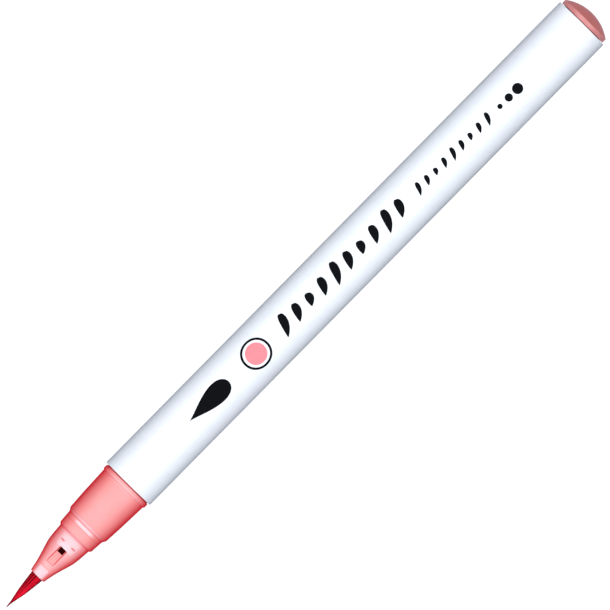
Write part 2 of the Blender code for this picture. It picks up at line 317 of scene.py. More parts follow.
def clamped(value):
    """The value, held between 0 and 1."""
    return min(1.0, max(0.0, value))


def between(pair, share):
    """The number that lies this share of the way from a pair's first to its second."""
    return pair[0] + (pair[1] - pair[0]) * share


def read_off(table, station):
    """The value at a station, from a table of (station, value) rows."""
    stations, values = zip(*table)
    return float(np.interp(station, stations, values))


def rounded(corners):
    """An outline from (station, radius, rounding) corners, each rounded to its own radius."""
    outline = []
    for index, (station, radius, rounding) in enumerate(corners):
        here = np.array((station, radius))
        if rounding == 0.0 or index in (0, len(corners) - 1):
            outline.append((station, radius))
            continue
        back = np.array(corners[index - 1][:2]) - here
        ahead = np.array(corners[index + 1][:2]) - here
        back /= np.linalg.norm(back)
        ahead /= np.linalg.norm(ahead)
        half_turn = math.acos(max(-1.0, min(1.0, float(back @ ahead)))) / 2
        middle = back + ahead
        centre = here + middle / np.linalg.norm(middle) * rounding / math.sin(half_turn)
        start = here + back * rounding / math.tan(half_turn) - centre
        end = here + ahead * rounding / math.tan(half_turn) - centre
        sweep = math.atan2(start[0] * end[1] - start[1] * end[0], float(start @ end))
        for step in range(ARC_STEPS + 1):
            angle = sweep * step / ARC_STEPS
            turned_s = start[0] * math.cos(angle) - start[1] * math.sin(angle)
            turned_r = start[0] * math.sin(angle) + start[1] * math.cos(angle)
            outline.append((centre[0] + turned_s, centre[1] + turned_r))
    return outline


def smooth_curve(points, steps):
    """A Catmull-Rom curve up to the last point, with this many steps from each to the next."""
    known = np.array([points[0], *points, points[-1]])
    curve = []
    for first in range(len(points) - 1):
        p0, p1, p2, p3 = known[first : first + 4]
        for step in range(steps):
            t = step / steps
            linear = (p2 - p0) * t
            square = (2 * p0 - 5 * p1 + 4 * p2 - p3) * t**2
            cube = (3 * p1 - p0 - 3 * p2 + p3) * t**3
            curve.append(tuple((2 * p1 + linear + square + cube) / 2))
    return curve


def densified(outline, longest):
    """The same outline with no step along the pen longer than this."""
    dense = [outline[0]]
    for (s0, r0), (s1, r1) in zip(outline, outline[1:]):
        pieces = max(1, math.ceil(abs(s1 - s0) / longest))
        for step in range(1, pieces + 1):
            share = step / pieces
            dense.append((between((s0, s1), share), between((r0, r1), share)))
    return dense


# ---- meshes


def place(station, across, up):
    """A point of the frame from a station and two distances from the pen's axis."""
    return (TIP_X - station, across, AXIS_Z + up)


def finish_mesh(name, builder, materials):
    """A piece from what was built: smooth, but for edges steeper than SHARP_ANGLE."""
    bmesh.ops.recalc_face_normals(builder, faces=builder.faces)
    mesh = bpy.data.meshes.new(name)
    builder.to_mesh(mesh)
    builder.free()
    for material in materials:
        mesh.materials.append(material)
    mesh.shade_smooth()
    mesh.set_sharp_from_angle(angle=SHARP_ANGLE)
    piece = bpy.data.objects.new(name, mesh)
    bpy.context.scene.collection.objects.link(piece)
    return piece


def lathe(name, outline, material):
    """Turns an outline about the pen's axis. It goes from pole to pole or closes on itself."""
    builder = bmesh.new()
    rings = []
    for station, radius in outline:
        if radius <= 0.0:
            rings.append([builder.verts.new(place(station, 0.0, 0.0))])
            continue
        ring = []
        for side in range(SIDES):
            angle = math.tau * side / SIDES
            point = place(station, radius * math.sin(angle), radius * math.cos(angle))
            ring.append(builder.verts.new(point))
        rings.append(ring)
    pairs = list(zip(rings, rings[1:]))
    if len(rings[0]) > 1:
        pairs.append((rings[-1], rings[0]))
    for first, second in pairs:
        for side in range(SIDES):
            after = (side + 1) % SIDES
            corners = [first[side % len(first)], first[after % len(first)]]
            corners += [second[after % len(second)], second[side % len(second)]]
            builder.faces.new(dict.fromkeys(corners))
    return finish_mesh(name, builder, [material])


# ---- materials


def new_material(name):
    """A new material with its node tree and its shader."""
    material = bpy.data.materials.new(name)
    material.use_nodes = True
    tree = material.node_tree
    return material, tree, tree.nodes["Principled BSDF"]


def set_values(node, **values):
    """Sets a node's inputs by name, with _ for a space."""
    for name, value in values.items():
        node.inputs[name.replace("_", " ")].default_value = value


def linked(tree, kind, *sources):
    """A new node with its first inputs fed by the given sockets."""
    node = tree.nodes.new(kind)
    for index, source in enumerate(sources):
        tree.links.new(source, node.inputs[index])
    return node


def noise_at(tree, scale, stretch=EVEN, detail=3.0):
    """Noise in object space, evenly spread or stretched along X, Y and Z."""
    where = tree.nodes.new("ShaderNodeTexCoord")
    mapping = linked(tree, "ShaderNodeMapping", where.outputs["Object"])
    mapping.inputs["Scale"].default_value = stretch
    noise = linked(tree, "ShaderNodeTexNoise", mapping.outputs["Vector"])
    set_values(noise, Scale=scale, Detail=detail)
    return noise.outputs["Fac"]


def attribute(tree, name):
    """A number that the mesh carries at its points."""
    node = tree.nodes.new("ShaderNodeAttribute")
    node.attribute_name = name
    return node.outputs["Fac"]


def spread(tree, source, low, high, start=NOISE_LOW, end=NOISE_HIGH):
    """Maps a source's range from start to end onto the range from low to high."""
    node = linked(tree, "ShaderNodeMapRange", source)
    set_values(node, From_Min=start, From_Max=end, To_Min=low, To_Max=high)
    return node.outputs["Result"]


def colours(tree, source, stops):
    """A colour ramp with (position, colour) stops."""
    ramp = linked(tree, "ShaderNodeValToRGB", source)
    elements = ramp.color_ramp.elements
    while len(elements) < len(stops):
        elements.new(0.5)
    for element, (position, colour) in zip(elements, stops):
        element.position = position
        element.color = (*colour, 1.0)
    return ramp.outputs["Color"]


def math_of(tree, operation, first, second):
    """Adds or multiplies a socket with a socket or a number."""
    node = tree.nodes.new("ShaderNodeMath")
    node.operation = operation
    for index, value in enumerate((first, second)):
        if isinstance(value, bpy.types.NodeSocket):
            tree.links.new(value, node.inputs[index])
        else:
            node.inputs[index].default_value = value
    return node.outputs["Value"]


def bumped(tree, shader, height, depth):
    """Gives the shader a bump of this depth from a source of heights."""
    bump = tree.nodes.new("ShaderNodeBump")
    set_values(bump, Strength=1.0, Distance=depth)
    tree.links.new(height, bump.inputs["Height"])
    tree.links.new(bump.outputs["Normal"], shader.inputs["Normal"])


def painted(tree, shader, source, stops):
    """Feeds the shader's colour from a source, through (position, colour) stops."""
    tree.links.new(colours(tree, source, stops), shader.inputs["Base Color"])


def mottled(tree, shader, noise, dark, light):
    """Feeds the shader's colour from noise, between two colours."""
    painted(tree, shader, noise, [(NOISE_LOW, dark), (NOISE_HIGH, light)])


def polished(tree, shader, noise, smoothest, roughest):
    """Feeds the shader's roughness from noise."""
    tree.links.new(spread(tree, noise, smoothest, roughest), shader.inputs["Roughness"])


def white_plastic():
    """Gloss white polypropylene: faint mottling and fine lines along the drawn tube."""
    material, tree, shader = new_material("white_plastic")
    set_values(shader, IOR=PLASTIC_IOR, Coat_Weight=0.2, Coat_Roughness=0.08)
    mottle = noise_at(tree, scale=420.0)
    mottled(tree, shader, mottle, (0.87, 0.885, 0.90), (0.90, 0.915, 0.93))
    lines = noise_at(tree, scale=5200.0, stretch=(0.06, 1.0, 1.0))
    polished(tree, shader, lines, 0.2, 0.32)
    bumped(tree, shader, lines, depth=0.0012 * MM)
    return material


def tinted_plastic():
    """See-through pink plastic: pale where its wall is thin, and redder where it is seen at a
    slant, through more of it. Its paleness also carries painted highlights and painted shade."""
    material, tree, shader = new_material("tinted_plastic")
    set_values(shader, IOR=PLASTIC_IOR, Sheen_Weight=1.0, Sheen_Roughness=1.0)
    set_values(shader, Sheen_Tint=(1.0, 0.03, 0.05, 1.0))
    set_values(shader, Subsurface_Weight=0.35, Subsurface_Scale=0.9 * MM)
    set_values(shader, Subsurface_Radius=(1.0, 0.08, 0.08))
    set_values(shader, Coat_IOR=1.03, Coat_Roughness=0.3, Coat_Tint=(1.0, 0.2, 0.2, 1.0))
    flow = noise_at(tree, scale=900.0, stretch=(0.4, 1.0, 1.0))
    uneven = spread(tree, flow, -0.02, 0.02)
    # The pale attribute holds the wall's paleness together with painted highlights and painted
    # shade
    pale = spread(tree, attribute(tree, "pale"), 0.0, 1.0, start=-1.0, end=1.0)
    stops = [
        (0.0, (0.35, 0.03, 0.05)),
        (0.25, (0.77, 0.30, 0.29)),
        (0.5, (0.89, 0.515, 0.475)),
        (0.75, (0.92, 0.66, 0.64)),
        (1.0, (0.96, 0.88, 0.90)),
    ]
    painted(tree, shader, math_of(tree, "ADD", pale, uneven), stops)
    slant = tree.nodes.new("ShaderNodeLayerWeight").outputs["Facing"]
    coat = spread(tree, slant, 0.0, 1.0, start=0.12, end=0.78)
    tree.links.new(coat, shader.inputs["Coat Weight"])
    polished(tree, shader, flow, 0.28, 0.34)
    bumped(tree, shader, flow, depth=0.0005 * MM)
    return material


def nose_bore_painted_shade():
    """The matt inside wall of the nose, coloured dark red as painted shade inside the nose."""
    material, tree, shader = new_material("nose_bore_painted_shade")
    mottle = noise_at(tree, scale=1500.0)
    mottled(tree, shader, mottle, (0.40, 0.03, 0.05), (0.50, 0.05, 0.07))
    polished(tree, shader, mottle, 0.6, 0.8)
    return material


def rose_plastic():
    """Solid rose plastic with a faint mottling: paler in the thin rim, deeper in the dome; the
    paler rim is partly a painted highlight and the deeper dome partly painted shade.
    """
    material, tree, shader = new_material("rose_plastic")
    set_values(shader, IOR=PLASTIC_IOR, Subsurface_Weight=0.25, Subsurface_Scale=0.4 * MM)
    set_values(shader, Subsurface_Radius=(1.0, 0.35, 0.3), Coat_Weight=0.2, Coat_Roughness=0.12)
    set_values(shader, Sheen_Weight=0.7, Sheen_Roughness=0.7, Sheen_Tint=(1.0, 0.4, 0.42, 1.0))
    mottle = noise_at(tree, scale=700.0)
    where = tree.nodes.new("ShaderNodeTexCoord")
    along = linked(tree, "ShaderNodeSeparateXYZ", where.outputs["Object"]).outputs["X"]
    dome_x = TIP_X - PEN_LENGTH + DOME_HEIGHT
    # Painted along the pen: the rim paler, partly as a painted highlight, and the dome deeper,
    # partly as painted shade
    thin = spread(tree, along, 0.1, 0.9, start=dome_x - DOME_FADE, end=dome_x + DOME_FADE)
    shade = math_of(tree, "ADD", thin, spread(tree, mottle, -0.1, 0.1))
    painted(tree, shader, shade, [(0.0, (0.53, 0.09, 0.045)), (1.0, (0.60, 0.22, 0.205))])
    polished(tree, shader, mottle, 0.26, 0.38)
    bumped(tree, shader, noise_at(tree, scale=2600.0), depth=0.0015 * MM)
    return material


def wet_filaments():
    """Nylon filaments wet with crimson ink: each its own shade, darker deep between them as painted
    shade.
    """
    material, tree, shader = new_material("wet_filaments")
    set_values(shader, IOR=NYLON_IOR, Specular_IOR_Level=0.1)
    streaks = noise_at(tree, scale=9000.0, stretch=(0.03, 1.0, 1.0))
    own_shade = attribute(tree, "shade")
    shade = math_of(tree, "ADD", own_shade, math_of(tree, "MULTIPLY", streaks, FINE_STREAKS))
    # Each point's own shade times its painted light and shade
    deep = math_of(tree, "MULTIPLY", shade, attribute(tree, "light"))
    stops = [
        (0.0, (0.02, 0.0003, 0.001)),
        (0.2, (0.16, 0.0008, 0.004)),
        (0.5, (0.54, 0.002, 0.013)),
        (0.68, (0.70, 0.004, 0.024)),
        (1.0, (0.97, 0.014, 0.042)),
    ]
    painted(tree, shader, deep, stops)
    polished(tree, shader, streaks, 0.22, 0.42)
    return material


def print_ink(name, colour):
    """Screen-printed ink: matt, a little uneven."""
    material, tree, shader = new_material(name)
    set_values(shader, Specular_IOR_Level=0.02)
    grain = noise_at(tree, scale=6000.0)
    gain, grey = INK_WEAR
    mottled(tree, shader, grain, colour, tuple(channel * gain + grey for channel in colour))
    polished(tree, shader, grain, 0.35, 0.5)
    return material


def inner_material(name, dark, light, roughness, scale, depth, stretch=EVEN, **values):
    """A mottled material for the pieces inside the pen, with a bump of the same pattern."""
    material, tree, shader = new_material(name)
    set_values(shader, **values)
    grain = noise_at(tree, scale, stretch, detail=5.0)
    mottled(tree, shader, grain, dark, light)
    polished(tree, shader, grain, *roughness)
    bumped(tree, shader, grain, depth)
    return material


# ---- barrel and tail plug


def make_barrel(material):
    """One tube: thin rounded rims, a socket at each end and air grooves along the bore."""
    socket_back = BARREL_FRONT + SPIGOT_SOCKET_DEPTH
    plug_socket = BARREL_BACK - PLUG_SOCKET_DEPTH
    lead_in = SPIGOT_SOCKET_RADIUS + LEAD_IN
    corners = [
        (OUTLINE_START, BARREL_RADIUS, 0.0),
        (BARREL_BACK, BARREL_RADIUS, RIM_ROUNDING),
        (BARREL_BACK, PLUG_SOCKET_RADIUS, RIM_ROUNDING / 2),
        (plug_socket, PLUG_SOCKET_RADIUS, 0.0),
        (plug_socket, BORE_RADIUS, 0.0),
        (plug_socket - GROOVE_MARGIN, BORE_RADIUS, 0.0),
        (plug_socket - GROOVE_MARGIN - GROOVE_STEP, BORE_RADIUS, 0.0),
        (socket_back + GROOVE_MARGIN + GROOVE_STEP, BORE_RADIUS, 0.0),
        (socket_back + GROOVE_MARGIN, BORE_RADIUS, 0.0),
        (socket_back, BORE_RADIUS, 0.0),
        (socket_back, SPIGOT_SOCKET_RADIUS, 0.0),
        (BARREL_FRONT + LEAD_IN, SPIGOT_SOCKET_RADIUS, 0.0),
        (BARREL_FRONT, lead_in, RIM_ROUNDING / 3),
        (BARREL_FRONT, BARREL_RADIUS, RIM_ROUNDING),
        (OUTLINE_START, BARREL_RADIUS, 0.0),
    ]
    outline = rounded(corners)[:-1]
    barrel = lathe("barrel_tube", outline, material)
    cut_air_grooves(barrel, socket_back + GROOVE_MARGIN, plug_socket - GROOVE_MARGIN)
    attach(barrel, "pen")
    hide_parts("barrel")


def cut_air_grooves(barrel, front, back):
    """Pushes the bore outward along four stretches between two stations."""
    for vertex in barrel.data.vertices:
        station = TIP_X - vertex.co.x
        across, up = vertex.co.y, vertex.co.z - AXIS_Z
        radius = math.hypot(across, up)
        quarter = math.atan2(across, up) % (math.pi / 2) - math.pi / 4
        in_groove = abs(quarter) * BORE_RADIUS < GROOVE_WIDTH / 2
        on_bore = radius < BORE_RADIUS + BORE_TOLERANCE
        if in_groove and on_bore and front < station < back:
            vertex.co.y *= GROOVE_RADIUS / radius
            vertex.co.z = AXIS_Z + up * GROOVE_RADIUS / radius


def make_tail_plug(material):
    """The domed plug: a hollow shank, a dark groove under the rim, the rim, then the dome."""
    dome_base = PEN_LENGTH - DOME_HEIGHT
    dome_curve = (DOME_RADIUS**2 + DOME_HEIGHT**2) / (2 * DOME_HEIGHT)
    edge_angle = math.asin(DOME_RADIUS / dome_curve)
    cup_bottom = BARREL_BACK - PLUG_WALL
    corners = [
        (cup_bottom, 0.0, 0.0),
        (cup_bottom, PLUG_SHANK_RADIUS - PLUG_WALL, PLUG_CUP_ROUNDING),
        (PLUG_FRONT, PLUG_SHANK_RADIUS - PLUG_WALL, PLUG_ROUNDING),
        (PLUG_FRONT, PLUG_SHANK_RADIUS - PLUG_LEAD_IN, PLUG_ROUNDING),
        (PLUG_FRONT + PLUG_LEAD_IN, PLUG_SHANK_RADIUS, PLUG_ROUNDING),
        (BARREL_BACK - PLUG_UNDERCUT, PLUG_SHANK_RADIUS, 0.0),
        (BARREL_BACK, PLUG_SHANK_RADIUS - PLUG_UNDERCUT, 0.0),
        (BARREL_BACK + PLUG_GAP, PLUG_SHANK_RADIUS - PLUG_UNDERCUT, 0.0),
        (BARREL_BACK + PLUG_GAP, PLUG_RIM_RADIUS, PLUG_RIM_ROUNDING),
        (dome_base - PLUG_RIM_STEP, PLUG_RIM_RADIUS, PLUG_ROUNDING),
        (dome_base, DOME_RADIUS, 0.0),
    ]
    outline = rounded(corners)
    centre = PEN_LENGTH - dome_curve
    for step in range(1, DOME_STEPS + 1):
        angle = edge_angle * (1 - step / DOME_STEPS)
        radius = dome_curve * math.sin(angle) if step < DOME_STEPS else 0.0
        outline.append((centre + dome_curve * math.cos(angle), radius))
    plug = lathe("tail_plug_dome", outline, material)
    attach(plug, "pen")
    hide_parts("tail_plug")


# ---- nose


def nose_outside():
    """The nose's outer side, from its lip back to the end of its spigot."""
    cone = [
        (MOUTH + 0.05 * MM, 1.46 * MM),
        (MOUTH + 0.15 * MM, 1.53 * MM),
        (9.3 * MM, 1.88 * MM),
        (10.9 * MM, 2.32 * MM),
        (12.5 * MM, 2.8 * MM),
        (13.2 * MM, 2.975 * MM),
        (14.4 * MM, 3.13 * MM),
        (16.1 * MM, 3.26 * MM),
    ]
    collars = [
        (16.1 * MM, 3.26 * MM, 0.0),
        (16.3 * MM, 3.28 * MM, 0.12 * MM),
        (16.66 * MM, 3.63 * MM, 0.1 * MM),
        (18.98 * MM, 3.79 * MM, 0.12 * MM),
        (19.62 * MM, 4.17 * MM, 0.15 * MM),
        (23.0 * MM, 4.37 * MM, 2.0 * MM),
        (27.98 * MM, 4.56 * MM, 0.03 * MM),
        (28.08 * MM, FLANGE_RADIUS, 0.06 * MM),
        (FLANGE_BACK, FLANGE_RADIUS, 0.06 * MM),
        (FLANGE_BACK, FLANGE_RADIUS - 0.2 * MM, 0.0),
        (BARREL_FRONT + 0.1 * MM, FLANGE_RADIUS - 0.25 * MM, 0.0),
        (BARREL_FRONT + 0.2 * MM, SPIGOT_RADIUS, 0.0),
        (SPIGOT_BACK - 0.5 * MM, SPIGOT_RADIUS, 0.2 * MM),
        (SPIGOT_BACK, SPIGOT_RADIUS - 0.25 * MM, 0.0),
    ]
    return smooth_curve(cone, CONE_STEPS) + rounded(collars)


def nose_inside():
    """The bore from the mouth back to the spigot's end."""
    return rounded(
        [
            (MOUTH + 0.03 * MM, 1.27 * MM, 0.0),
            (9.2 * MM, 1.3 * MM, 0.0),
            (9.5 * MM, 1.24 * MM, 0.0),
            (12.5 * MM, 1.85 * MM, 0.3 * MM),
            (13.9 * MM, 2.02 * MM, 0.0),
            (14.05 * MM, 2.72 * MM, 0.05 * MM),
            (14.8 * MM, 2.74 * MM, 0.1 * MM),
            (16.3 * MM, 2.36 * MM, 0.1 * MM),
            (16.7 * MM, 2.98 * MM, 0.08 * MM),
            (17.0 * MM, 2.7 * MM, 0.08 * MM),
            (18.2 * MM, 2.66 * MM, 0.05 * MM),
            (18.55 * MM, 3.42 * MM, 0.04 * MM),
            (18.78 * MM, 3.42 * MM, 0.04 * MM),
            (19.1 * MM, 3.02 * MM, 0.04 * MM),
            (19.5 * MM, 3.46 * MM, 0.05 * MM),
            (20.4 * MM, 3.3 * MM, 0.2 * MM),
            (27.2 * MM, 3.58 * MM, 0.2 * MM),
            (28.1 * MM, 4.1 * MM, 0.1 * MM),
            (28.7 * MM, 3.9 * MM, 0.1 * MM),
            (30.0 * MM, 3.5 * MM, 0.0),
            (SPIGOT_BACK, 3.5 * MM, 0.0),
        ]
    )


def at_stations(outline, extra):
    """The outline with points added where it first passes each of the extra stations."""
    outline = list(outline)
    for station in sorted(extra):
        index = next(i for i, point in enumerate(outline) if point[0] > station)
        (s0, r0), (s1, r1) = outline[index - 1], outline[index]
        if station - s0 > TINY:
            radius = between((r0, r1), (station - s0) / (s1 - s0))
            outline.insert(index, (station, radius))
    return outline


def outside_rows():
    """The outer side's rows: close together but for the plain cone and the hidden spigot."""
    outline = at_stations(nose_outside(), [*window_stations(), *PLAIN_CONE])
    rows = [outline[0]]
    for first, second in zip(outline, outline[1:]):
        plain = PLAIN_CONE[0] <= first[0] < PLAIN_CONE[1] or first[0] >= FLANGE_BACK
        rows += densified([first, second], PLAIN_ROW if plain else MARKED_ROW)[1:]
    return rows


def inside_rows():
    """The bore's rows, from the spigot's end to the mouth, with one at each row of the vent."""
    vent = [s for s in window_stations() if VENT_FRONT <= s <= WINDOW_BACK - EDGE_ROUNDING]
    return densified(at_stations(nose_inside(), vent), PLAIN_ROW)[::-1]


def window_stations():
    """Rows that the vent window needs: fine along it, finest at its back edge."""
    count = round((WINDOW_BACK - WINDOW_FRONT) / WINDOW_ROW)
    rows = [WINDOW_FRONT + WINDOW_ROW * step for step in range(count)]
    rows = [row for row in rows if abs(row - VENT_FRONT) > WINDOW_ROW / 2]
    edges = [WINDOW_BACK - EDGE_ROUNDING * step for step in (0.0, 1.0, 2.0)]
    return rows + edges + [VENT_FRONT, WINDOW_BACK + EDGE_ROUNDING]


def column_angle(column, radius):
    """Columns near the top keep a fixed distance across; the others share what is left."""
    last = len(WINDOW_COLUMNS) - 1
    if abs(column) <= last:
        across = math.copysign(WINDOW_COLUMNS[abs(column)], column)
        return math.asin(across / radius)
    edge = math.asin(WINDOW_COLUMNS[last] / radius)
    share = (column - last) / (NOSE_COLUMNS - 2 * last)
    return edge + (math.tau - 2 * edge) * share


def faded(distance, edge, fade):
    """1 up to the edge, then smoothly down to 0 over the fade."""
    share = clamped((distance - edge) / fade)
    return 1.0 - share * share * (3.0 - 2.0 * share)


def window_cut(station, across, surface):
    """How much the vent window takes off the outer side at a point near the top."""
    if not WINDOW_FRONT <= station <= WINDOW_BACK - EDGE_ROUNDING:
        return 0.0
    floor = WINDOW_FLOOR - math.tan(WINDOW_SLOPE) * (WINDOW_BACK - station)
    side = (abs(across) - WINDOW_FOOT) / (WINDOW_TOP - WINDOW_FOOT)
    return max(0.0, surface - floor) * clamped(1.0 - side)


def paleness(station, across):
    """How much paler than plain the nose is outside the window, alike on top and underneath:
    thin-wall panels that are partly painted highlights, painted highlight and shade lines at the
    steps, and two painted shade marks.
    """
    level = 0.0
    for (front, back), halves, amounts, fade in PALE_PANELS_AND_HIGHLIGHTS:
        share = clamped((station - front) / (back - front))
        half = between(halves, share)
        beyond = max(front - station, station - back)
        fades = faded(beyond, 0.0, PANEL_END_FADE) * faded(abs(across), half, fade)
        level = max(level, between(amounts, share) * fades)
    for line, half, amount in PAINTED_STEP_LINES:
        level += amount * (1.0 - min(1.0, abs(station - line) / half))
    tick, half, inner, outer = PAINTED_SHADE_TICKS
    if inner < abs(across) < outer:
        level += TICK_SHADE_DEPTH * (1.0 - min(1.0, abs(station - tick) / half))
    return level


def window_painted_shade(station, across, cut):
    """How pale the vent window is painted, all of it painted shade in the recess: its floor nearly
    even, its side walls redder as they rise.
    """
    if abs(across) > WINDOW_FOOT + TINY:
        return max(-1.0, SIDE_WALL_PAINTED_SHADE - cut / WALL_DEEPEST)
    if station < WINDOW_FRONT + WINDOW_ROW:
        return FRONT_PAINTED_SHADE
    share = (station - WINDOW_FRONT) / (WINDOW_BACK - WINDOW_FRONT)
    return between(FLOOR_PAINTED_SHADE, share)


def nose_ring(builder, layer, station, radius, columns, outside):
    """One ring of the nose's wall, with the window cut in and the paleness, painted highlights and
    painted shade noted.
    """
    ring = []
    for column in columns:
        angle = column_angle(column, radius)
        across, up = radius * math.sin(angle), radius * math.cos(angle)
        cut = window_cut(station, across, up) if outside and up > 0.0 else 0.0
        vertex = builder.verts.new(place(station, across, up - cut))
        pale = paleness(station, across)
        vertex[layer] = window_painted_shade(station, across, cut) if cut > TINY else pale
        ring.append(vertex)
    return ring


def make_nose(shell_material, bore_material):
    """The tinted front section with its vent window, as one closed wall."""
    rows_outside = outside_rows()
    rows = rows_outside + inside_rows()
    last = len(WINDOW_COLUMNS) - 1
    columns = list(range(-last, NOSE_COLUMNS - last))
    builder = bmesh.new()
    layer = builder.verts.layers.float.new("pale")
    grid = []
    for index, (station, radius) in enumerate(rows):
        outside = index < len(rows_outside)
        grid.append(nose_ring(builder, layer, station, radius, columns, outside))
    vent_column = WINDOW_COLUMNS.index(VENT_HALF)
    for index, station in enumerate(row[0] for row in rows):
        after = (index + 1) % len(rows)
        middle = (station + rows[after][0]) / 2
        in_vent = VENT_FRONT < middle < WINDOW_BACK - EDGE_ROUNDING
        in_bore = len(rows_outside) <= index < len(rows) - 1
        for place_in_ring, column in enumerate(columns):
            if in_vent and -vent_column <= column < vent_column:
                continue
            beside = (place_in_ring + 1) % len(columns)
            corners = [grid[index][place_in_ring], grid[index][beside]]
            corners += [grid[after][beside], grid[after][place_in_ring]]
            face = builder.faces.new(corners)
            face.material_index = int(in_bore)
    # The vent's four walls join its hole in the window's floor to its hole in the bore
    rims = [edge for edge in builder.edges if edge.is_boundary]
    bmesh.ops.bridge_loops(builder, edges=rims)
    nose = finish_mesh("front_section_shell", builder, [shell_material, bore_material])
    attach(nose, "pen")
    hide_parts("front_section")


# ---- brush


def from_gaps(angle):
    """The signed degrees from an angle round the brush to each gap between two locks."""
    degrees = math.degrees(angle) % 360.0
    return [(degrees - gap + 180.0) % 360.0 - 180.0 for gap, _, _ in LOCKS]


def gap_at(angle):
    """How deep an angle lies in a gap between two locks, 0 to 1."""
    halves = [half for _, _, half in LOCKS]
    nearest = min(abs(offset) / half for offset, half in zip(from_gaps(angle), halves))
    return max(0.0, 1.0 - nearest)


def lock_shade(angle):
    """The shade of the lock at an angle, with broad streaks along it."""
    past_gap = [(offset % 360.0, lock[1]) for offset, lock in zip(from_gaps(angle), LOCKS)]
    streak = sum(math.sin(count * angle + count) for count in STREAK_COUNTS)
    return min(past_gap)[1] + STREAK_SHADE * streak


def brush_rows(front, back):
    """Stations from one cut of the brush to the next, finer in the open than inside the nose."""
    open_back = min(back, MOUTH + MOUTH_MARGIN)
    count = max(2, math.ceil((open_back - front) / BRUSH_ROW))
    rows = [front + (open_back - front) * step / count for step in range(count + 1)]
    if back > open_back:
        rows.append(back)
    return rows


class Filament:
    """One nylon filament: where it lies round the bundle, how deep, and where it ends."""

    def __init__(self, angle, depth, end, generator):
        self.angle = angle
        self.depth = depth
        self.end = end
        self.shade = lock_shade(angle) + float(generator.uniform(-FILAMENT_SHADE, FILAMENT_SHADE))
        self.wander = float(generator.uniform(-1.0, 1.0)) * FILAMENT_WANDER
        self.phase = float(generator.uniform(0.0, math.tau))
        self.lift = float(generator.uniform(-1.0, 1.0)) * FILAMENT_LIFT

    def thickness(self, station):
        """The filament's radius at a station, down to a point at its end."""
        narrowing = read_off(BRUSH_OUTLINE, station) / read_off(BRUSH_OUTLINE, MOUTH)
        point = clamped((station - self.end) / FILAMENT_POINT) ** FILAMENT_POINT_POWER
        return max(FILAMENT_RADIUS * narrowing**FILAMENT_TAPER * point, TINY)

    def at(self, station):
        """The middle of the filament at a station, and how well it is lit, away from a gap."""
        along_brush = 1.0 - station / MOUTH
        bunch = LOCK_PULL * math.sin(math.pi * clamped(along_brush))
        angle = self.angle + self.wander * math.sin(self.phase + FILAMENT_WAVE * along_brush)
        angle += bunch * lock_drift(self.angle)
        in_gap = gap_at(angle) * min(1.0, station / GAP_FADE)
        depth = self.depth * (1.0 - GAP_DEPTH * in_gap) + self.lift
        radius = max(0.0, read_off(BRUSH_OUTLINE, station) * depth - self.thickness(station))
        lit = read_off(HAIR_LIGHT, station) * (1.0 - GAP_DARKNESS * in_gap)
        lit = HIDDEN_LIGHT if station > MOUTH + BRUSH_ROW else lit
        return radius * math.sin(angle), radius * math.cos(angle), lit


def lock_drift(angle):
    """Which way a filament leans: away from the nearest gap, towards its own lock."""
    nearest = min(from_gaps(angle), key=abs)
    return math.copysign(max(0.0, 1.0 - abs(nearest) / LOCK_REACH), nearest)


def make_filaments():
    """All the filaments, spread evenly round the bundle with a little disorder."""
    generator = np.random.default_rng(SEED)
    filaments = []
    for depth, count in FILAMENT_LAYERS:
        for index in range(count):
            shift = float(generator.uniform(-FILAMENT_JITTER, FILAMENT_JITTER))
            angle = math.tau * (index + shift) / count
            ends = TIP_ENDS if generator.uniform() < TIP_SHARE else OTHER_ENDS
            filaments.append(Filament(angle, depth, float(generator.uniform(*ends)), generator))
    return filaments


def add_rod(builder, layers, rings, sides, shade):
    """A closed rod from rings of (station, across, up, radius, lit)."""
    shade_layer, light_layer = layers
    loops = []
    for station, across, up, radius, lit in rings:
        loop = []
        for side in range(sides):
            angle = math.tau * side / sides
            point = place(station, across + radius * math.sin(angle), up + radius * math.cos(angle))
            vertex = builder.verts.new(point)
            vertex[shade_layer] = shade
            vertex[light_layer] = lit
            loop.append(vertex)
        loops.append(loop)
    for first, second in zip(loops, loops[1:]):
        for side in range(sides):
            after = (side + 1) % sides
            builder.faces.new((first[side], first[after], second[after], second[side]))
    builder.faces.new(loops[0])
    builder.faces.new(loops[-1][::-1])


def make_hair(name, front, back, filaments, material):
    """The hair between two stations: its filaments round a core that fills the middle."""
    builder = bmesh.new()
    layers = [builder.verts.layers.float.new(key) for key in ("shade", "light")]
    rows = brush_rows(front, back)
    for filament in filaments:
        inside = [row for row in rows if row > filament.end]
        if len(inside) < len(rows):
            inside.insert(0, filament.end)
        if len(inside) == 1:
            continue
        rings = []
        for row in inside:
            across, up, lit = filament.at(row)
            rings.append((row, across, up, filament.thickness(row), lit))
        add_rod(builder, layers, rings, FILAMENT_SIDES, filament.shade)
    core = []
    for row in rows:
        radius = max(CORE_THINNEST, read_off(BRUSH_OUTLINE, row) * CORE_SHARE)
        core.append((row, 0.0, 0.0, radius, CORE_LIGHT))
    add_rod(builder, layers, core, CORE_SIDES, CORE_SHADE)
    return finish_mesh(name, builder, [material])


def make_brush(material):
    """The hair in four lengths, each spanning one hinge; they meet between hinges."""
    hinges = [TIP_X - joint["pos_m"][0] for joint in frame["joints"]]
    cuts = [SHANK_BACK]
    cuts += [(first + second) / 2 for first, second in zip(hinges, hinges[1:])]
    cuts.append(0.0)
    filaments = make_filaments()
    for index, hinge in enumerate(hinges):
        back, front = cuts[index], cuts[index + 1]
        length = make_hair(f"brush_hair_{index + 1}", front, back, filaments, material)
        replaced = [f"brush_zone_{index + 1}"] + (["brush_shank"] if index == 0 else [])
        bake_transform(length)
        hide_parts(*replaced)


# ---- print


